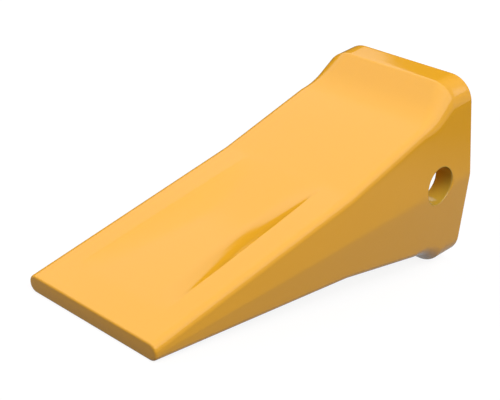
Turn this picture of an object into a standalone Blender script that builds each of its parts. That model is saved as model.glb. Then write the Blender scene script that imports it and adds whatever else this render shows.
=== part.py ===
"""Cast bucket tooth: one hollow steel point with a socket at the rear and a pin hole through its side walls.

The form is worked out on the tooth's own centre line (x from the cutting edge to the rear, z the thickness)
and then turned so that the tooth lies on its lower side, the way it rests on a floor. Lengths are in metres.
"""
import math

import bmesh
import bpy
import numpy as np

# Overall form
tooth_length = 0.271
tip_half_width = 0.050
rear_half_width = 0.0543
tip_half_thickness = 0.0052
tip_edge_round = 0.0008
side_draft = math.radians(5.0)

# Upper and lower outlines: lengths counted forwards from the rear edge, rises from the bend in the shoulders
collar_length = 0.048
body_length = 0.070
bend_half_height = 0.0277
body_rise = 0.0172
collar_rise = 0.0187
collar_edge_drop = 0.0002
flare_radius = 0.044
flare_angle = math.radians(41.3)
crest_round = 0.0030
rear_edge_round = 0.0015

# Rounding along the four long corners
nose_corner_radius = 0.0050
body_corner_radius = 0.0060
crest_corner_radius = 0.0175
collar_corner_radius = 0.0162
smallest_corner_radius = 0.0008
crease_clearance = 0.0002

# Relief between the two shoulders, on the upper and the lower side
relief_start_x = 0.020
relief_rear_run = 0.049
relief_depth = 0.0060
relief_blend = 0.0020
front_shoulder_width = 0.0165
rear_shoulder_width = 0.0228
relief_wall_width = 0.0098
relief_wall_growth = 1.35
relief_edge_steepness = 0.3
relief_edge_power = 5.0
relief_wall_clearance = 0.0020
hollow_half_length = 0.014

# Socket for the adapter nose: depth from the rear edge, walls measured from the outside
socket_depth = 0.126
seat_length = 0.020
seat_taper = 0.0010
seat_roof = 0.0132
seat_side_wall = 0.0190
mouth_roof = 0.0144
mouth_side_wall = 0.0108
seat_corner_radius = 0.006
mouth_corner_radius = 0.012
seat_edge_round = 0.0020
mouth_edge_round = 0.0020

# Pin hole through both side walls
pin_hole_setback = 0.033
pin_hole_z = 0.003
pin_hole_radius = 0.0125
pin_hole_chamfer = 0.0012
cutter_overrun = 0.008

# Fineness of the curves and the greatest turn that the lying pose may need
corner_steps = 6
wall_steps = 5
wall_step_power = 1.5
flare_steps = 5
round_steps = 3
hole_steps = 48
hollow_steps = 4
stretch_steps = 3
turn_halvings = 60
greatest_turn = math.radians(30.0)
sharp_edge_angle = math.radians(24.0)

# Places and heights that follow from the sizes above
flare_start_x = tooth_length - collar_length
shoulder_end_x = flare_start_x - body_length
relief_corner_x = shoulder_end_x - relief_rear_run
flare_start_height = bend_half_height + body_rise
crest_height = flare_start_height + collar_rise
collar_edge_height = crest_height - collar_edge_drop
socket_front_x = tooth_length - socket_depth
seat_end_x = socket_front_x + seat_length
pin_hole_x = tooth_length - pin_hole_setback
seat_half_height = bend_half_height - seat_roof
mouth_half_height = collar_edge_height - mouth_roof
seat_half_width = tip_half_width - seat_side_wall
mouth_half_width = rear_half_width - mouth_side_wall
flare_start_angle = math.atan2(body_rise, body_length)


def clear_scene():
    for thing in list(bpy.data.objects):
        bpy.data.objects.remove(thing, do_unlink=True)


def paint(name, colour, roughness):
    """A plain satin paint as a Principled material."""
    material = bpy.data.materials.new(name)
    material.use_nodes = True
    shader = material.node_tree.nodes["Principled BSDF"]
    shader.inputs["Base Color"].default_value = (*colour, 1.0)
    shader.inputs["Roughness"].default_value = roughness
    material.diffuse_color = (*colour, 1.0)
    return material


def shoulder_height(x):
    """Half the thickness at the shoulders: two straight lines and the hollow flare up to the crest."""
    if x <= shoulder_end_x:
        share = x / shoulder_end_x
        return tip_half_thickness + (bend_half_height - tip_half_thickness) * share
    if x <= flare_start_x:
        return bend_half_height + body_rise * (x - shoulder_end_x) / body_length
    for (x0, z0), (x1, z1) in zip(collar_outline[:-1], collar_outline[1:]):
        if x <= x1:
            return z0 + (z1 - z0) * (x - x0) / (x1 - x0)
    return collar_outline[-1][1]


def make_collar_outline():
    """Points from the start of the flare over the rounded crest to the rear edge."""
    points = []
    centre_x = flare_start_x - flare_radius * math.sin(flare_start_angle)
    centre_z = flare_start_height + flare_radius * math.cos(flare_start_angle)
    for step in range(flare_steps + 1):
        angle = flare_start_angle + (flare_angle - flare_start_angle) * step / flare_steps
        x = centre_x + flare_radius * math.sin(angle)
        z = centre_z - flare_radius * math.cos(angle)
        points.append((x, z))
    rise = crest_height - points[-1][1]
    crest_x = points[-1][0] + rise / math.tan(flare_angle)
    land_angle = math.atan2(collar_edge_height - crest_height, tooth_length - crest_x)
    turn = flare_angle - land_angle
    cut_back = crest_round * math.tan(turn / 2.0)
    up_the_flare = np.array([math.cos(flare_angle), math.sin(flare_angle)])
    start = np.array([crest_x, crest_height]) - cut_back * up_the_flare
    centre = start + crest_round * np.array([math.sin(flare_angle), -math.cos(flare_angle)])
    for step in range(round_steps + 1):
        angle = flare_angle - turn * step / round_steps
        point = centre + crest_round * np.array([-math.sin(angle), math.cos(angle)])
        points.append((float(point[0]), float(point[1])))
    points.append((tooth_length, collar_edge_height))
    return points


collar_outline = make_collar_outline()
crest_end_x = collar_outline[-2][0]


def relief_height(x):
    """Half the thickness between the shoulders: two straight lines that meet in a soft hollow."""
    shoulder = shoulder_height(x)
    if x <= relief_start_x or x >= shoulder_end_x:
        return shoulder
    low = shoulder_height(relief_corner_x) - relief_depth
    front_line = shoulder_height(relief_start_x)
    front_line += (low - front_line) * (x - relief_start_x) / (relief_corner_x - relief_start_x)
    rear_line = low + (bend_half_height - low) * (x - relief_corner_x) / relief_rear_run
    gap = front_line - rear_line
    return min(shoulder, 0.5 * (front_line + rear_line + math.sqrt(gap * gap + relief_blend * relief_blend)))


def half_width(x):
    return tip_half_width + (rear_half_width - tip_half_width) * x / tooth_length


def corner_radius(x):
    """Rounding of the long corners: small at the nose, large around the collar."""
    if x <= shoulder_end_x:
        radius = nose_corner_radius
    elif x <= flare_start_x:
        share = (x - shoulder_end_x) / body_length
        radius = nose_corner_radius + (body_corner_radius - nose_corner_radius) * share
    elif x <= crest_end_x:
        share = (x - flare_start_x) / (crest_end_x - flare_start_x)
        radius = body_corner_radius + (crest_corner_radius - body_corner_radius) * share
    else:
        share = (x - crest_end_x) / (tooth_length - crest_end_x)
        radius = crest_corner_radius + (collar_corner_radius - crest_corner_radius) * share
    return min(radius, shoulder_height(x) - crease_clearance)


def shoulder_edge(x):
    """Distance of the shoulder's inner edge from the middle plane: the shoulder widens towards the rear."""
    share = min(max((x - relief_start_x) / (shoulder_end_x - relief_start_x), 0.0), 1.0)
    return half_width(x) - front_shoulder_width - (rear_shoulder_width - front_shoulder_width) * share


def wall_drop(share):
    """How much of the depth is reached at a share of the wall's way from the shoulder's edge to its foot.

    The wall is nearly straight, with a steep start at the edge that fades with a high power.
    """
    steep = 1.0 - (1.0 - share) ** relief_edge_power
    return (1.0 - relief_edge_steepness) * share + relief_edge_steepness * steep


def outer_quarter(x, inset=0.0):
    """Points of the outside from the middle of the upper side round to the crease on the side, as (y, z)."""
    top = shoulder_height(x) - inset
    middle = relief_height(x) - inset
    depth = top - middle
    radius = max(corner_radius(x) - inset, smallest_corner_radius)
    centre_z = top - radius
    centre_y = half_width(x) - inset - centre_z * math.tan(side_draft) - radius / math.cos(side_draft)
    wall_width = relief_wall_width + relief_wall_growth * depth
    edge = min(shoulder_edge(x), centre_y - relief_wall_clearance)
    points = [(0.0, middle)]
    for step in range(wall_steps, -1, -1):
        share = (step / wall_steps) ** wall_step_power
        points.append((edge - wall_width * share, top - depth * wall_drop(share)))
    for step in range(corner_steps + 1):
        angle = (math.pi / 2.0 - side_draft) * step / corner_steps
        points.append((centre_y + radius * math.sin(angle), centre_z + radius * math.cos(angle)))
    points.append((half_width(x) - inset, 0.0))
    return points


def socket_quarter(half_y, half_z, radius):
    """Points of the socket from the middle of its upper side round to the middle of its side."""
    flat = half_y - radius
    points = []
    for step in range(wall_steps + 2):
        points.append((flat * step / (wall_steps + 2), half_z))
    for step in range(corner_steps + 1):
        angle = 0.5 * math.pi * step / corner_steps
        points.append((flat + radius * math.sin(angle), half_z - radius * (1.0 - math.cos(angle))))
    points.append((half_y, 0.0))
    return points


def full_loop(quarter):
    """The quarter mirrored to the other side and to the lower side, going once round."""
    upper = quarter + [(y, -z) for y, z in quarter[-2::-1]]
    return upper + [(-y, z) for y, z in upper[-2:0:-1]]


def outer_stations():
    """Every cross-section of the outside, from the cutting edge to the rear, as lists of (x, y, z)."""
    loops = []
    for step in range(round_steps + 1):
        angle = 0.5 * math.pi * step / round_steps
        x = tip_edge_round * (1.0 - math.cos(angle))
        inset = tip_edge_round * (1.0 - math.sin(angle))
        loops.append([(x, y, z) for y, z in full_loop(outer_quarter(x, inset))])
    hollow_start = relief_corner_x - hollow_half_length
    hollow_end = relief_corner_x + hollow_half_length
    places = [relief_start_x]
    places += list(np.linspace(relief_start_x, hollow_start, stretch_steps + 1)[1:])
    places += list(np.linspace(hollow_start, hollow_end, hollow_steps + 1)[1:])
    places += list(np.linspace(hollow_end, shoulder_end_x, stretch_steps + 1)[1:])
    places += list(np.linspace(shoulder_end_x, flare_start_x, stretch_steps + 1)[1:])
    places += [x for x, z in collar_outline[1:-1]]
    for x in places:
        loops.append([(x, y, z) for y, z in full_loop(outer_quarter(x))])
    for step in range(round_steps + 1):
        angle = 0.5 * math.pi * step / round_steps
        x = tooth_length - rear_edge_round * (1.0 - math.sin(angle))
        inset = rear_edge_round * (1.0 - math.cos(angle))
        loops.append([(x, y, z) for y, z in full_loop(outer_quarter(x, inset))])
    return loops


def socket_size(x):
    """Half width, half height and corner radius of the socket: the seat first, then the long taper."""
    if x <= seat_end_x:
        narrowing = seat_taper * (seat_end_x - x) / seat_length
        return seat_half_width - narrowing, seat_half_height - narrowing, seat_corner_radius
    share = (x - seat_end_x) / (tooth_length - seat_end_x)
    half_y = seat_half_width + (mouth_half_width - seat_half_width) * share
    half_z = seat_half_height + (mouth_half_height - seat_half_height) * share
    return half_y, half_z, seat_corner_radius + (mouth_corner_radius - seat_corner_radius) * share


def socket_stations():
    """Every cross-section of the socket, from its mouth to its flat front end."""
    loops = []
    half_y, half_z, radius = socket_size(tooth_length - mouth_edge_round)
    for step in range(round_steps + 1):
        angle = 0.5 * math.pi * step / round_steps
        widening = mouth_edge_round * (1.0 - math.sin(angle))
        setback = mouth_edge_round * (1.0 - math.cos(angle))
        section = full_loop(socket_quarter(half_y + widening, half_z + widening, radius + widening))
        loops.append([(tooth_length - setback, y, z) for y, z in section])
    for x in (pin_hole_x, 0.5 * (pin_hole_x + seat_end_x), seat_end_x, socket_front_x + seat_edge_round):
        loops.append([(x, y, z) for y, z in full_loop(socket_quarter(*socket_size(x)))])
    half_y, half_z, radius = (size - seat_edge_round for size in socket_size(socket_front_x))
    section = full_loop(socket_quarter(half_y, half_z, radius))
    loops.append([(socket_front_x, y, z) for y, z in section])
    return loops


def build_body():
    """The outside and the socket as one closed skin."""
    mesh = bmesh.new()
    outer = outer_stations()
    inner = socket_stations()
    rings = []
    for loop in outer + inner:
        rings.append([mesh.verts.new(point) for point in loop])
    count = len(rings[0])
    for first, second in zip(rings[:-1], rings[1:]):
        for i in range(count):
            j = (i + 1) % count
            mesh.faces.new((first[i], first[j], second[j], second[i]))
    for ring in (rings[0], rings[-1]):
        mesh.faces.new(ring)
    bmesh.ops.recalc_face_normals(mesh, faces=mesh.faces)
    return mesh


def lying_angle(points):
    """The turn about the y axis that brings the lower side down on the floor at the front and at the rear."""
    front = points[points[:, 0] < shoulder_end_x]
    rear = points[points[:, 0] >= shoulder_end_x]
    low, high = 0.0, greatest_turn
    for _ in range(turn_halvings):
        angle = 0.5 * (low + high)
        front_height = (front[:, 0] * math.sin(angle) + front[:, 2] * math.cos(angle)).min()
        rear_height = (rear[:, 0] * math.sin(angle) + rear[:, 2] * math.cos(angle)).min()
        if rear_height < front_height:
            low = angle
        else:
            high = angle
    return 0.5 * (low + high)


def turned(points, angle):
    x = points[:, 0] * math.cos(angle) - points[:, 2] * math.sin(angle)
    z = points[:, 0] * math.sin(angle) + points[:, 2] * math.cos(angle)
    return np.column_stack([x, points[:, 1], z])


def pin_cutter_points():
    """A straight bore with a widening cone outside each wall, turned about the y axis."""
    face_y = half_width(pin_hole_x)
    wide = pin_hole_radius + pin_hole_chamfer + cutter_overrun
    profile = [(-face_y - cutter_overrun, wide), (-face_y + pin_hole_chamfer, pin_hole_radius)]
    profile += [(face_y - pin_hole_chamfer, pin_hole_radius), (face_y + cutter_overrun, wide)]
    points = []
    for y, radius in profile:
        for step in range(hole_steps):
            # half a step on, so that no corner of the bore falls on the socket's ring at its middle
            angle = 2.0 * math.pi * (step + 0.5) / hole_steps
            points.append((pin_hole_x + radius * math.cos(angle), y, pin_hole_z + radius * math.sin(angle)))
    return points, len(profile)


def make_object(name, mesh, material):
    data = bpy.data.meshes.new(name)
    mesh.to_mesh(data)
    mesh.free()
    data.materials.append(material)
    thing = bpy.data.objects.new(name, data)
    bpy.context.scene.collection.objects.link(thing)
    return thing


def cutter_body(points, rows):
    """The closed skin of the pin hole cutter, from its rings of points."""
    mesh = bmesh.new()
    corners = [mesh.verts.new(point) for point in points]
    for row in range(rows - 1):
        here = row * hole_steps
        above = here + hole_steps
        for step in range(hole_steps):
            after = (step + 1) % hole_steps
            upper = (corners[above + after], corners[above + step])
            mesh.faces.new((corners[here + step], corners[here + after], *upper))
    mesh.faces.new(corners[:hole_steps])
    mesh.faces.new(corners[-hole_steps:])
    bmesh.ops.recalc_face_normals(mesh, faces=mesh.faces)
    return mesh


def main():
    clear_scene()
    yellow = paint("yellow_paint", (0.90, 0.42, 0.06), 0.42)
    plain = paint("cutter_grey", (0.5, 0.5, 0.5), 0.6)

    body = build_body()
    outline = np.array([vertex.co[:] for vertex in body.verts])
    angle = lying_angle(outline)
    placed = turned(outline, angle)
    middle = np.array([0.5 * (placed[:, 0].min() + placed[:, 0].max()), 0.0, placed[:, 2].min()])
    for vertex, position in zip(body.verts, placed - middle):
        vertex.co = position
    tooth = make_object("bucket_tooth", body, yellow)

    points, rows = pin_cutter_points()
    bore_points = turned(np.array(points), angle) - middle
    cutter = make_object("pin_hole_cutter", cutter_body(bore_points, rows), plain)
    cutter.hide_render = True
    cutter.display_type = "WIRE"

    bore = tooth.modifiers.new("pin_hole", "BOOLEAN")
    bore.operation = "DIFFERENCE"
    bore.solver = "EXACT"
    bore.object = cutter

    tooth.data.shade_smooth()
    tooth.data.set_sharp_from_angle(angle=sharp_edge_angle)


main()
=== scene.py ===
import math

import bmesh
import bpy
import numpy as np
from mathutils import Matrix, Vector


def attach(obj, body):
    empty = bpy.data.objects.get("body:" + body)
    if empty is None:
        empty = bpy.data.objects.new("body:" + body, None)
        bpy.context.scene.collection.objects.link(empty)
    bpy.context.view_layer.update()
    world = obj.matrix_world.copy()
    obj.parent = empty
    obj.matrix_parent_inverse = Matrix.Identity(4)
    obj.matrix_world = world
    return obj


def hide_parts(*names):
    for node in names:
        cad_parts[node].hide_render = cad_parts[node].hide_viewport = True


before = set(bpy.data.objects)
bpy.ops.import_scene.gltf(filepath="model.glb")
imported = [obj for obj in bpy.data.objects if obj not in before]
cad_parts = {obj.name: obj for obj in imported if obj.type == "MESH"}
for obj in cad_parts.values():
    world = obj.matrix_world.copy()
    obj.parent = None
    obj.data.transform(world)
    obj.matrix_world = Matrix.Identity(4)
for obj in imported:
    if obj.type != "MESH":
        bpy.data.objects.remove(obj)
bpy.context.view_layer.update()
print("frame loaded")


# A share of the way from a to b.
def mixed(a, b, share):
    return a + (b - a) * share


# Shares of a stretch in equal steps, both ends included.
def shares(steps):
    return np.linspace(0.0, 1.0, steps + 1)


# Angles of a quarter turn in equal steps, both ends included.
def quarterTurn(steps):
    return np.linspace(0.0, math.pi / 2.0, steps + 1)


def makeMesh(name, points, faces):
    mesh = bpy.data.meshes.new(name)
    mesh.from_pydata(points.tolist(), [], faces)
    mesh.update()
    obj = bpy.data.objects.new(name, mesh)
    bpy.context.scene.collection.objects.link(obj)
    return obj


# Four-sided faces between each ring and the next, closed round.
def ringFaces(rows, count):
    row, step = np.meshgrid(np.arange(rows - 1), np.arange(count), indexing="ij")
    here, after = row * count + step, row * count + (step + 1) % count
    return np.stack([here, after, after + count, here + count], axis=2).reshape(-1, 4).tolist()


# Closes the flat cutting edge with strips between its upper and its lower half, and a triangle at either side.
def tipFaces(count):
    quarter = count // 4
    steps = np.arange(1, 2 * quarter - 1)
    upper, lower = (quarter - steps) % count, (quarter + steps) % count
    upperNext, lowerNext = (quarter - steps - 1) % count, (quarter + steps + 1) % count
    strips = np.stack([upper, upperNext, lowerNext, lower], axis=1).tolist()
    return strips + [[side, side - 1, side + 1] for side in (quarter, 3 * quarter)]


# Recalculates the normals of a closed skin.
def pointOutwards(obj):
    work = bmesh.new()
    work.from_mesh(obj.data)
    bmesh.ops.recalc_face_normals(work, faces=work.faces)
    work.to_mesh(obj.data)
    work.free()


# How many rows each stretch of the grids gets.
fineness = {
    "tip": 6,
    "nose": 12,
    "reliefFront": 44,
    "reliefRear": 34,
    "body": 30,
    "flare": 18,
    "slope": 4,
    "crest": 10,
    "land": 6,
    "rearRound": 6,
    "floor": 14,
    "wall": 16,
    "shoulder": 8,
    "corner": 16,
    "side": 14,
    "socket": 46,
}

# The casting's sizes in metres, on its own centre line: x from the cutting edge to the rear, y across, z the
# thickness.
tooth = {
    "length": 0.271,
    "tipHalfWidth": 0.050,
    "rearHalfWidth": 0.0543,
    "tipHalfHeight": 0.0052,
    "tipRound": 0.0012,
    "sideDraft": math.radians(5.0),
    "creaseSoftness": 0.0016,  # height over which the parting crease is softened
    "creaseShare": 0.25,
    "creaseClearance": 0.0002,
    "shoulderEndX": 0.153,  # the bend between the front and the rear slope
    "shoulderEndZ": 0.0277,
    "flareX": 0.223,
    "flareZ": 0.0449,
    "flareRadius": 0.044,
    "flareAngle": math.radians(41.3),
    "crestZ": 0.06357,
    "crestRound": 0.0030,
    "collarEdgeZ": 0.06337,
    "rearRound": 0.0015,
    "noseCorner": 0.0050,  # the four long corners' rounding, at four places
    "bodyCorner": 0.0060,
    "crestCorner": 0.0175,
    "collarCorner": 0.0162,
    "smallestCorner": 0.0006,
    "sharpAngle": math.radians(28.0),
    "lyingTurn": math.radians(13.0303),  # from the centre line to how the tooth lies on the floor
}


# Runs up the hollow flare as an arc, straight on at the flare's angle, over the crest as a second arc that is tangent
# to both neighbours, and along the flat land to the rear edge. Gives arrays of x and z, and the x where the crest ends.
def collarLine():
    startAngle = math.atan2(tooth["flareZ"] - tooth["shoulderEndZ"], tooth["flareX"] - tooth["shoulderEndX"])
    endAngle, bend, crestRound = tooth["flareAngle"], tooth["flareRadius"], tooth["crestRound"]
    angle = np.linspace(startAngle, endAngle, fineness["flare"] + 1)
    arcX = tooth["flareX"] + bend * (np.sin(angle) - math.sin(startAngle))
    arcZ = tooth["flareZ"] + bend * (math.cos(startAngle) - np.cos(angle))
    crestX = arcX[-1] + (tooth["crestZ"] - arcZ[-1]) / math.tan(endAngle)
    landAngle = math.atan2(tooth["collarEdgeZ"] - tooth["crestZ"], tooth["length"] - crestX)
    cut = crestRound * math.tan((endAngle - landAngle) / 2.0)
    fromX, fromZ = crestX - cut * math.cos(endAngle), tooth["crestZ"] - cut * math.sin(endAngle)
    slope = shares(fineness["slope"])[1:-1]
    slopeX, slopeZ = mixed(arcX[-1], fromX, slope), mixed(arcZ[-1], fromZ, slope)
    turn = np.linspace(endAngle, landAngle, fineness["crest"] + 1)
    crestArcX = fromX + crestRound * (math.sin(endAngle) - np.sin(turn))
    crestArcZ = fromZ + crestRound * (np.cos(turn) - math.cos(endAngle))
    land = shares(fineness["land"])[1:]
    landX, landZ = mixed(crestArcX[-1], tooth["length"], land), mixed(crestArcZ[-1], tooth["collarEdgeZ"], land)
    lineX = np.concatenate([arcX, slopeX, crestArcX, landX])
    lineZ = np.concatenate([arcZ, slopeZ, crestArcZ, landZ])
    return lineX, lineZ, crestArcX[-1]


collarX, collarZ, crestEndX = collarLine()


# Half the thickness at the shoulders: straight to the bend, straight to the flare, then the collar line.
def shoulderHeight(x):
    lineX = np.concatenate([[0.0, tooth["shoulderEndX"]], collarX])
    lineZ = np.concatenate([[tooth["tipHalfHeight"], tooth["shoulderEndZ"]], collarZ])
    return np.interp(x, lineX, lineZ)


def halfWidth(x):
    return mixed(tooth["tipHalfWidth"], tooth["rearHalfWidth"], x / tooth["length"])


# The long corners' rounding, straight between its values at the bend, the flare, the crest and the rear.
def cornerRadius(x):
    places = [tooth["shoulderEndX"], tooth["flareX"], crestEndX, tooth["length"]]
    radii = [tooth["noseCorner"], tooth["bodyCorner"], tooth["crestCorner"], tooth["collarCorner"]]
    return np.minimum(np.interp(x, places, radii), shoulderHeight(x) - tooth["creaseClearance"])


# The hollow between the two shoulders, on the upper and the lower side. The shoulders widen towards the rear.
relief = {
    "startX": 0.020,
    "cornerX": 0.104,  # where it is deepest
    "depth": 0.0060,
    "blend": 0.0020,
    "frontShoulder": 0.0165,
    "rearShoulder": 0.0228,
    "wallWidth": 0.0098,
    "wallGrowth": 1.35,  # how much wider a wall gets with each metre of depth
    "wallSpacing": 1.6,
    "edgeSteepness": 0.3,
    "edgePower": 5.0,
    "edgeClearance": 0.0020,
    "edgeRound": 0.0006,
    "footRound": 0.0030,
}


# Half the thickness between the shoulders: the larger of two straight lines, with the square root of the gap squared
# plus the blend squared in place of the plain gap, so that they meet in a soft hollow.
def reliefHeight(x):
    shoulder = shoulderHeight(x)
    low = shoulderHeight(relief["cornerX"]) - relief["depth"]
    startZ = shoulderHeight(relief["startX"])
    front = startZ + (low - startZ) * (x - relief["startX"]) / (relief["cornerX"] - relief["startX"])
    endX, endZ = tooth["shoulderEndX"], tooth["shoulderEndZ"]
    rear = low + (endZ - low) * (x - relief["cornerX"]) / (endX - relief["cornerX"])
    gap = front - rear
    hollow = 0.5 * (front + rear + np.sqrt(gap * gap + relief["blend"] ** 2))
    inside = (x > relief["startX"]) & (x < endX)
    return np.where(inside, np.minimum(shoulder, hollow), shoulder)


# Where the shoulder's inner edge stands, from the middle plane.
def shoulderEdge(x):
    share = np.clip((x - relief["startX"]) / (tooth["shoulderEndX"] - relief["startX"]), 0.0, 1.0)
    return halfWidth(x) - mixed(relief["frontShoulder"], relief["rearShoulder"], share)


# The share where it is above nought, else nought, with a parabola of the given half width between them.
def softStep(share, width):
    inner = (share + width) ** 2 / (4.0 * width)
    return np.where(share <= -width, 0.0, np.where(share >= width, share, inner))


# How much of the depth is reached at a share of the way from the shoulder's edge to the foot: nearly straight, with
# a steep start that fades with a high power, and rounded at both ends.
def wallDrop(share, edgeWidth, footWidth):
    onWall = softStep(share, edgeWidth) - softStep(share - 1.0, footWidth)
    held = np.clip(onWall, 0.0, 1.0)
    steep = 1.0 - (1.0 - held) ** relief["edgePower"]
    return mixed(held, steep, relief["edgeSteepness"])


# One quarter of each cross-section, from the middle of the upper side to the crease on the side: the relief's floor,
# its wall, the shoulder, the corner's arc and the drafted side. x and inset are columns with a row for each section.
# Gives y and z, a row for each section and a column for each step round.
def outerQuarter(x, inset):
    draft, softness = tooth["sideDraft"], tooth["creaseSoftness"]
    top = shoulderHeight(x) - inset
    depth = shoulderHeight(x) - reliefHeight(x)
    radius = np.maximum(cornerRadius(x) - inset, tooth["smallestCorner"])
    centreZ = top - radius
    centreY = halfWidth(x) - inset - centreZ * math.tan(draft) - radius / math.cos(draft)
    wall = relief["wallWidth"] + relief["wallGrowth"] * depth
    edge = np.minimum(shoulderEdge(x), centreY - relief["edgeClearance"])
    foot = edge - wall - relief["footRound"]
    wallTop = edge + relief["edgeRound"]

    wallShare = 1.0 - shares(fineness["wall"])[None, ::-1] ** relief["wallSpacing"]
    shoulderShare = shares(fineness["shoulder"])[None, 1:-1]
    floorY = foot * shares(fineness["floor"])[None, :-1]
    flatY = np.concatenate([floorY, mixed(foot, wallTop, wallShare), mixed(wallTop, centreY, shoulderShare)], axis=1)
    angle = np.linspace(0.0, math.pi / 2.0 - draft, fineness["corner"] + 1)[None, :]
    y = np.concatenate([flatY, centreY + radius * np.sin(angle)], axis=1)
    z = np.concatenate([np.broadcast_to(top, flatY.shape), centreZ + radius * np.cos(angle)], axis=1)
    z = z - depth * wallDrop((edge - y) / wall, relief["edgeRound"] / wall, relief["footRound"] / wall)

    sideShare = shares(fineness["side"])[None, 1:]
    sideZ = z[:, -1:] * (1.0 - sideShare)
    softened = softness * math.tan(draft) * tooth["creaseShare"]
    sideY = mixed(y[:, -1:], halfWidth(x) - inset, sideShare)
    sideY = sideY - softened * np.clip(1.0 - sideZ / softness, 0.0, 1.0) ** 2
    return np.concatenate([y, sideY], axis=1), np.concatenate([z, sideZ], axis=1)


# Mirrors the quarter to the other three and joins x, so that each row is one closed ring of points.
def fullRings(x, y, z):
    upperY = np.concatenate([y, y[:, -2::-1]], axis=1)
    upperZ = np.concatenate([z, -z[:, -2::-1]], axis=1)
    ringY = np.concatenate([upperY, -upperY[:, -2:0:-1]], axis=1)
    ringZ = np.concatenate([upperZ, upperZ[:, -2:0:-1]], axis=1)
    return np.stack([np.broadcast_to(x, ringY.shape), ringY, ringZ], axis=2)


# The outside as rings: the tip's rounding, every stretch up to the rear, and the rear edge's rounding. A rounding of
# radius r sits r(1 - cos a) along the axis and r(1 - sin a) inwards.
def outerRings():
    angle = quarterTurn(fineness["tip"])
    tipX = tooth["tipRound"] * (1.0 - np.cos(angle))
    tipIn = tooth["tipRound"] * (1.0 - np.sin(angle))
    stretches = [
        np.linspace(tipX[-1], relief["startX"], fineness["nose"] + 1)[1:],
        np.linspace(relief["startX"], relief["cornerX"], fineness["reliefFront"] + 1)[1:],
        np.linspace(relief["cornerX"], tooth["shoulderEndX"], fineness["reliefRear"] + 1)[1:],
        np.linspace(tooth["shoulderEndX"], tooth["flareX"], fineness["body"] + 1)[1:],
        collarX[1:-1],
    ]
    along = np.concatenate(stretches)
    along = along[along < tooth["length"] - tooth["rearRound"]]
    angle = quarterTurn(fineness["rearRound"])
    rearX = tooth["length"] - tooth["rearRound"] * (1.0 - np.sin(angle))
    rearIn = tooth["rearRound"] * (1.0 - np.cos(angle))
    x = np.concatenate([tipX, along, rearX])[:, None]
    inset = np.concatenate([tipIn, 0.0 * along, rearIn])[:, None]
    y, z = outerQuarter(x, inset)
    return fullRings(x, y, z)


# The socket for the adapter nose: half sizes at its front end, at the rear of the seat and at the mouth.
socket = {
    "frontX": 0.145,
    "seatLength": 0.020,
    "frontHalfZ": 0.0135,
    "seatHalfZ": 0.0145,
    "mouthHalfZ": 0.0490,
    "frontHalfY": 0.0300,
    "seatHalfY": 0.0310,
    "mouthHalfY": 0.0435,
    "seatCorner": 0.006,
    "mouthCorner": 0.012,
    "mouthRound": 0.0020,
    "endRound": 0.0040,
}


# One quarter of each socket section, from the middle of its upper side, round the corner's arc, to the middle of its
# side, with as many steps as the outside has.
def socketQuarter(halfY, halfZ, radius):
    topShare = shares(fineness["floor"] + fineness["wall"] + fineness["shoulder"])[None, :-1]
    angle = quarterTurn(fineness["corner"])[None, :]
    sideShare = shares(fineness["side"])[None, 1:]
    flatY, flatZ = halfY - radius, halfZ - radius
    y = np.concatenate([flatY * topShare, flatY + radius * np.sin(angle), 0.0 * sideShare + halfY], axis=1)
    z = np.concatenate([0.0 * topShare + halfZ, flatZ + radius * np.cos(angle), flatZ * (1.0 - sideShare)], axis=1)
    return y, z


# The socket as rings: the mouth's rounding, the long taper, the seat, and the rounding at its front end.
def socketRings():
    angle = quarterTurn(fineness["rearRound"])
    mouthX = tooth["length"] - socket["mouthRound"] * (1.0 - np.cos(angle))
    mouthOut = socket["mouthRound"] * (1.0 - np.sin(angle))
    endX = socket["frontX"] + socket["endRound"] * (1.0 - np.sin(angle))
    endIn = socket["endRound"] * (1.0 - np.cos(angle))
    along = np.linspace(mouthX[-1], endX[0], fineness["socket"] + 1)[1:-1]
    x = np.concatenate([mouthX, along, endX])[:, None]
    grow = np.concatenate([mouthOut, 0.0 * along, -endIn])[:, None]
    held = np.clip(x, None, mouthX[-1])
    places = [socket["frontX"], socket["frontX"] + socket["seatLength"], tooth["length"]]
    halfY = np.interp(held, places, [socket["frontHalfY"], socket["seatHalfY"], socket["mouthHalfY"]]) + grow
    halfZ = np.interp(held, places, [socket["frontHalfZ"], socket["seatHalfZ"], socket["mouthHalfZ"]]) + grow
    radius = np.interp(held, places, [socket["seatCorner"], socket["seatCorner"], socket["mouthCorner"]]) + grow
    y, z = socketQuarter(halfY, halfZ, radius)
    return fullRings(x, y, z)


# The hole for the cross pin, through both side walls.
pinHole = {
    "x": 0.238,
    "z": 0.003,
    "radius": 0.0125,
    "edgeRound": 0.0014,
    "edgeSteps": 8,
    "steps": 160,
    "overrun": 0.006,  # how far the cutter stands out of the side
    "mouthStep": 0.0015,
    "mouthFlare": 0.004,
}


# Radius against y for the hole: straight inside the walls, opening at each wall's outer face as a quarter circle that
# is tangent to both, and past the face as a wide mouth.
def pinProfile():
    r, edge, step = pinHole["radius"], pinHole["edgeRound"], pinHole["mouthStep"]
    face = halfWidth(pinHole["x"])
    angle = quarterTurn(pinHole["edgeSteps"])
    outY = face - edge + edge * np.sin(angle)
    outR = r + edge * (1.0 - np.cos(angle))
    side = np.concatenate([outY, [face + step, face + pinHole["overrun"]]])
    wide = np.concatenate([outR, [r + edge + step, r + edge + pinHole["mouthFlare"]]])
    return np.concatenate([-side[::-1], side]), np.concatenate([wide[::-1], wide])


# The profile's radius turned once round the y direction.
def pinCutterPoints():
    y, radius = pinProfile()
    angle = np.linspace(0.0, 2.0 * math.pi, pinHole["steps"], endpoint=False)[None, :]
    x = pinHole["x"] + radius[:, None] * np.cos(angle)
    z = pinHole["z"] + radius[:, None] * np.sin(angle)
    return np.stack([x, np.broadcast_to(y[:, None], x.shape), z], axis=2).reshape(-1, 3)


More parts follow.
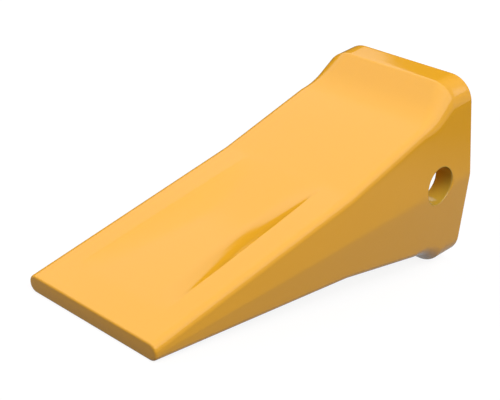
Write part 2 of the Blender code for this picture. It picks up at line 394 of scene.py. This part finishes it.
def pinCutterFaces():
    rows, count = len(pinProfile()[0]), pinHole["steps"]
    last = (rows - 1) * count
    return ringFaces(rows, count) + [list(range(count)), list(range(last, last + count))]


# Turns points from the centre line to the lying tooth: x and z turn by the lying angle about the y axis.
def lying(points):
    c, s = math.cos(tooth["lyingTurn"]), math.sin(tooth["lyingTurn"])
    x, y, z = points[:, 0], points[:, 1], points[:, 2]
    return np.stack([x * c - z * s, y, x * s + z * c], axis=1)


# The outside and the socket as one closed skin, laid down, centred over the floor, with the pin hole cut. Gives the
# piece and how far it was moved.
def buildTooth():
    rings = np.concatenate([outerRings(), socketRings()])
    rows, count = rings.shape[0], rings.shape[1]
    points = lying(rings.reshape(-1, 3))
    middle = np.array([0.5 * (points[:, 0].min() + points[:, 0].max()), 0.0, points[:, 2].min()])
    socketEnd = list(range((rows - 1) * count, rows * count))
    body = makeMesh("castTooth", points - middle, ringFaces(rows, count) + tipFaces(count) + [socketEnd])
    pointOutwards(body)
    cutter = makeMesh("pinHoleCutter", lying(pinCutterPoints()) - middle, pinCutterFaces())
    pointOutwards(cutter)
    cut = body.modifiers.new("pinHole", "BOOLEAN")
    cut.operation = "DIFFERENCE"
    cut.solver = "EXACT"
    cut.object = cutter
    bpy.context.view_layer.update()
    shown = body.evaluated_get(bpy.context.evaluated_depsgraph_get())
    finished = bpy.data.meshes.new_from_object(shown)
    body.modifiers.clear()
    body.data = finished
    finished.name = "castTooth"
    bpy.data.objects.remove(cutter)
    finished.shade_smooth()
    finished.set_sharp_from_angle(angle=tooth["sharpAngle"])
    return body, middle


# A value moved from one range to another.
def ranged(nodes, links, value, fromMin, fromMax, toMin, toMax, blend="LINEAR"):
    node = nodes.new("ShaderNodeMapRange")
    node.interpolation_type = blend
    for name, number in (("From Min", fromMin), ("From Max", fromMax), ("To Min", toMin), ("To Max", toMax)):
        node.inputs[name].default_value = number
    links.new(value, node.inputs["Value"])
    return node.outputs["Result"]


# Two values put together by one sum.
def joined(nodes, links, operation, first, second):
    node = nodes.new("ShaderNodeMath")
    node.operation = operation
    links.new(first, node.inputs[0])
    links.new(second, node.inputs[1])
    return node.outputs[0]


# A vector, or a vector and a fixed one, put through one sum. Length and dot product come out as a value.
def vectorStep(nodes, links, operation, first, fixed=None):
    node = nodes.new("ShaderNodeVectorMath")
    node.operation = operation
    links.new(first, node.inputs[0])
    if fixed is not None:
        node.inputs[1].default_value = fixed
    return node.outputs["Value" if operation in ("LENGTH", "DOT_PRODUCT") else "Vector"]


# Glossy yellow enamel on a sand casting. Colours are linear, lengths in metres.
paint = {
    "colour": (0.93, 0.440, 0.014),
    "deepColour": (0.91, 0.426, 0.012),
    "roughness": 0.08,
    "roughnessSpread": 0.02,
    "specular": 0.50,
    "mottleSize": 0.045,
    "mottleDetail": 3.0,
    "castGrain": 0.0045,
    "castDetail": 4.0,
    "castHeight": 0.000012,
    "grainLow": 0.3,
    "grainHigh": 0.7,
    "peelSize": 0.0011,
    "peelDetail": 1.0,
    "peelHeight": 0.0000012,
    "boreShadeColour": (0.61, 0.385, 0.042),  # painted shade: a darker, greyer colour inside the pin hole
    "boreMargin": 0.0008,
}


def noise(nodes, links, place, size, detail):
    tex = nodes.new("ShaderNodeTexNoise")
    tex.inputs["Scale"].default_value = 1.0 / size
    tex.inputs["Detail"].default_value = detail
    links.new(place, tex.inputs["Vector"])
    return tex.outputs["Fac"]


# Two colours mixed by a mask. first is a colour or another mix.
def mixedColour(nodes, links, first, second, mask):
    mix = nodes.new("ShaderNodeMix")
    mix.data_type = "RGBA"
    if isinstance(first, tuple):
        mix.inputs["A"].default_value = (*first, 1.0)
    else:
        links.new(first, mix.inputs["A"])
    mix.inputs["B"].default_value = (*second, 1.0)
    links.new(mask, mix.inputs["Factor"])
    return mix.outputs["Result"]


# One inside the pin hole, nought outside, for the painted shade there: the distance from the hole's own axis, which
# runs along y.
def pinHoleShadeMask(nodes, links, place, middle):
    centre = lying(np.array([[pinHole["x"], 0.0, pinHole["z"]]]))[0] - middle
    away = vectorStep(nodes, links, "SUBTRACT", place, centre.tolist())
    across = vectorStep(nodes, links, "MULTIPLY", away, (1.0, 0.0, 1.0))
    distance = vectorStep(nodes, links, "LENGTH", across)
    return ranged(nodes, links, distance, pinHole["radius"], pinHole["radius"] + paint["boreMargin"], 1.0, 0.0)


# Paint over a sand casting: broad faint mottling in colour and gloss, a soft cast surface and orange peel. Painted
# shade darkens the pin hole's inside.
def castPaint(name, middle):
    mat = bpy.data.materials.new(name)
    mat.use_nodes = True
    nodes, links = mat.node_tree.nodes, mat.node_tree.links
    shader = nodes["Principled BSDF"]
    shader.inputs["Specular IOR Level"].default_value = paint["specular"]
    place = nodes.new("ShaderNodeTexCoord").outputs["Object"]
    mottle = noise(nodes, links, place, paint["mottleSize"], paint["mottleDetail"])
    outside = mixedColour(nodes, links, paint["colour"], paint["deepColour"], mottle)
    # Painted shade: inside the pin hole the colour turns darker and greyer.
    mask = pinHoleShadeMask(nodes, links, place, middle)
    links.new(mixedColour(nodes, links, outside, paint["boreShadeColour"], mask), shader.inputs["Base Color"])
    grain = noise(nodes, links, place, paint["castGrain"], paint["castDetail"])
    smooth, dull = paint["roughness"] - paint["roughnessSpread"], paint["roughness"] + paint["roughnessSpread"]
    gloss = ranged(nodes, links, grain, paint["grainLow"], paint["grainHigh"], smooth, dull)
    links.new(gloss, shader.inputs["Roughness"])
    peel = noise(nodes, links, place, paint["peelSize"], paint["peelDetail"])
    castBump = nodes.new("ShaderNodeBump")
    castBump.inputs["Distance"].default_value = paint["castHeight"]
    links.new(grain, castBump.inputs["Height"])
    peelBump = nodes.new("ShaderNodeBump")
    peelBump.inputs["Distance"].default_value = paint["peelHeight"]
    links.new(peel, peelBump.inputs["Height"])
    links.new(castBump.outputs["Normal"], peelBump.inputs["Normal"])
    links.new(peelBump.outputs["Normal"], shader.inputs["Normal"])
    return mat


body, middle = buildTooth()
body.data.materials.clear()
body.data.materials.append(castPaint("yellowPaint", middle))
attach(body, "root")
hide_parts("bucket_tooth")
print("tooth", len(body.data.polygons), "faces")


# One where the camera or a clear material looks at the surface, the given share where a reflection does, and nought
# for the light that it gives.
def seenWhite(nodes, links, reflected):
    path = nodes.new("ShaderNodeLightPath")
    direct = joined(nodes, links, "MAXIMUM", path.outputs["Is Camera Ray"], path.outputs["Is Transmission Ray"])
    glossy = joined(nodes, links, "MULTIPLY", path.outputs["Is Glossy Ray"], reflected)
    return joined(nodes, links, "MAXIMUM", direct, glossy)


# The pale floor. Its colour takes the shadow, and the lift makes it white to the eye, fully so from liftEnd outwards.
# Its reflection fades between fadeStart and fadeEnd, in metres from the middle.
floorLook = {
    "size": 16.0,
    "colour": (0.15, 0.15, 0.15),
    "roughness": 0.9,
    "specular": 0.0,
    "lift": 0.88,
    "liftStart": 0.5,
    "liftEnd": 1.3,
    "reflectedNear": 0.42,
    "reflectedFar": 0.02,
    "fadeStart": 0.42,
    "fadeEnd": 0.75,
}


def buildFloor():
    half = floorLook["size"] / 2.0
    corners = np.array([[-half, -half, 0.0], [half, -half, 0.0], [half, half, 0.0], [-half, half, 0.0]])
    floor = makeMesh("studioFloor", corners, [[0, 1, 2, 3]])
    mat = bpy.data.materials.new("studioWhite")
    mat.use_nodes = True
    nodes, links = mat.node_tree.nodes, mat.node_tree.links
    shader = nodes["Principled BSDF"]
    shader.inputs["Base Color"].default_value = (*floorLook["colour"], 1.0)
    shader.inputs["Roughness"].default_value = floorLook["roughness"]
    shader.inputs["Specular IOR Level"].default_value = floorLook["specular"]
    reach = vectorStep(nodes, links, "LENGTH", nodes.new("ShaderNodeTexCoord").outputs["Object"])
    reflected = ranged(nodes, links, reach, floorLook["fadeStart"], floorLook["fadeEnd"],
                       floorLook["reflectedNear"], floorLook["reflectedFar"])
    rising = ranged(nodes, links, reach, floorLook["liftStart"], floorLook["liftEnd"],
                    floorLook["lift"], 1.0, "SMOOTHSTEP")
    glow = nodes.new("ShaderNodeEmission")
    lift = joined(nodes, links, "MULTIPLY", seenWhite(nodes, links, reflected), rising)
    links.new(lift, glow.inputs["Strength"])
    join = nodes.new("ShaderNodeAddShader")
    links.new(shader.outputs[0], join.inputs[0])
    links.new(glow.outputs[0], join.inputs[1])
    links.new(join.outputs[0], nodes["Material Output"].inputs["Surface"])
    floor.data.materials.append(mat)


# The white tent that the paint mirrors. Rises and rounds are in degrees, From and To are cosines from dimRound.
tent = {
    "roofFrom": 28.0,  # the rise at which the bright roof begins
    "roofFull": 30.5,
    "roofBright": 2.55,
    "roofDim": 1.52,
    "brightFrom": -0.5,
    "dimTo": 1.0,
    "airBright": 0.80,  # the tent's wall below the roof
    "airDim": 0.08,
    "airFrom": 0.3,
    "airTo": 0.8,
    "dimRound": 50.0,
    "shadeShare": 0.58,
    "shadeFrom": 0.72,
    "shadeTo": 0.86,
    "gapRise": 18.0,  # the dark opening at the rear
    "gapRound": 0.0,
    "gapInner": 37.5,
    "gapOuter": 38.0,
}


# The unit vector with the given rise above the floor and turn round the tooth, in degrees.
def heading(rise, turn):
    rise, turn = math.radians(rise), math.radians(turn)
    return Vector((math.cos(rise) * math.cos(turn), math.cos(rise) * math.sin(turn), math.sin(rise)))


# White air wherever the camera looks. Only a reflection sees the tent: the roof and its shade above, cut out by the
# gap, and the dimmer wall below. It gives no light.
def buildWorld():
    world = bpy.data.worlds.new("studioAir")
    bpy.context.scene.world = world
    world.use_nodes = True
    nodes, links = world.node_tree.nodes, world.node_tree.links
    air = nodes["Background"]
    air.inputs["Color"].default_value = (1.0, 1.0, 1.0, 1.0)
    ray = nodes.new("ShaderNodeTexCoord").outputs["Generated"]
    aside = vectorStep(nodes, links, "DOT_PRODUCT", ray, heading(0.0, tent["dimRound"]))
    height = vectorStep(nodes, links, "DOT_PRODUCT", ray, heading(90.0, 0.0))
    near = vectorStep(nodes, links, "DOT_PRODUCT", ray, heading(tent["gapRise"], tent["gapRound"]))
    roof = ranged(nodes, links, aside, tent["brightFrom"], tent["dimTo"], tent["roofBright"], tent["roofDim"])
    wall = ranged(nodes, links, aside, tent["airFrom"], tent["airTo"], tent["airBright"], tent["airDim"])
    shade = ranged(nodes, links, aside, tent["shadeFrom"], tent["shadeTo"], 1.0, tent["shadeShare"])
    rises = [math.sin(math.radians(tent[name])) for name in ("roofFrom", "roofFull")]
    above = ranged(nodes, links, height, *rises, 0.0, 1.0)
    gap = [math.cos(math.radians(tent[name])) for name in ("gapOuter", "gapInner")]
    closed = ranged(nodes, links, near, *gap, 1.0, 0.0)
    for factor in (shade, above, closed):
        roof = joined(nodes, links, "MULTIPLY", roof, factor)
    shown = joined(nodes, links, "MAXIMUM", roof, wall)
    links.new(seenWhite(nodes, links, shown), air.inputs["Strength"])


# Large soft lamps at one distance from the aim, on all sides: rise and round in degrees, size in metres, power in
# watts. The paint doesn't mirror them.
lampDistance = 3.0
lampAim = (0.0, 0.0, 0.05)
lamps = {
    "front": {"rise": 34, "round": 150, "size": 2.0, "power": 26.5},
    "far": {"rise": 39, "round": 99, "size": 2.0, "power": 22.5},
    "near": {"rise": 45, "round": 255, "size": 2.4, "power": 58.0},
    "side": {"rise": 22, "round": 272, "size": 1.6, "power": 5.5},
    "high": {"rise": 65, "round": 232, "size": 2.4, "power": 27.0},
    "rear": {"rise": 14, "round": 8, "size": 1.8, "power": 42.0},
    "farSide": {"rise": 6, "round": 92, "size": 2.0, "power": 11.0},
}


def buildLamps():
    for name, lamp in lamps.items():
        data = bpy.data.lights.new(name, "AREA")
        data.shape = "DISK"
        data.size = lamp["size"]
        data.energy = lamp["power"]
        obj = bpy.data.objects.new(name, data)
        direction = heading(lamp["rise"], lamp["round"])
        obj.location = Vector(lampAim) + direction * lampDistance
        obj.rotation_mode = "QUATERNION"
        obj.rotation_quaternion = (-direction).to_track_quat("-Z", "Y")
        obj.visible_glossy = False
        bpy.context.scene.collection.objects.link(obj)


# The camera's place and directions, fitted on the tooth's centre line: turn round the tooth, rise above it, and the
# place of the centre line's start in the camera's own axes (right, down, forward), in metres.
shot = {
    "round": math.radians(42.78),
    "rise": math.radians(28.68),
    "roll": math.radians(0.06),
    "start": (-0.08287, 0.06040, 0.60511),
    "focalPixels": 1171.02,
    "imageWidth": 500.0,
    "sensor": 36.0,
    "clipStart": 0.01,
    "clipEnd": 20.0,
}


# Right, up and back of the camera on the centre line, then turned with the tooth as it lies down.
def buildCamera(middle):
    a, e = shot["round"], shot["rise"]
    back = Vector((-math.cos(a) * math.cos(e), -math.sin(a) * math.cos(e), math.sin(e)))
    up = Vector((0.0, 0.0, 1.0))
    up = (up - back * up.dot(back)).normalized()
    right = up.cross(back)
    c, s = math.cos(shot["roll"]), math.sin(shot["roll"])
    right, up = right * c + up * s, up * c - right * s
    startX, startY, startZ = shot["start"]
    onLine = Matrix((right, up, back)).transposed().to_4x4()
    onLine.translation = -(right * startX - up * startY - back * startZ)
    laid = Matrix.Translation(-Vector(middle)) @ Matrix.Rotation(-tooth["lyingTurn"], 4, "Y")
    data = bpy.data.cameras.new("photoCamera")
    data.sensor_width = shot["sensor"]
    data.lens = shot["focalPixels"] * shot["sensor"] / shot["imageWidth"]
    data.clip_start = shot["clipStart"]
    data.clip_end = shot["clipEnd"]
    camera = bpy.data.objects.new("photoCamera", data)
    camera.matrix_world = laid @ onLine
    bpy.context.scene.collection.objects.link(camera)
    bpy.context.scene.camera = camera


buildFloor()
buildWorld()
buildLamps()
buildCamera(middle)
bpy.context.scene.view_settings.view_transform = "Standard"
print("studio and camera ready")
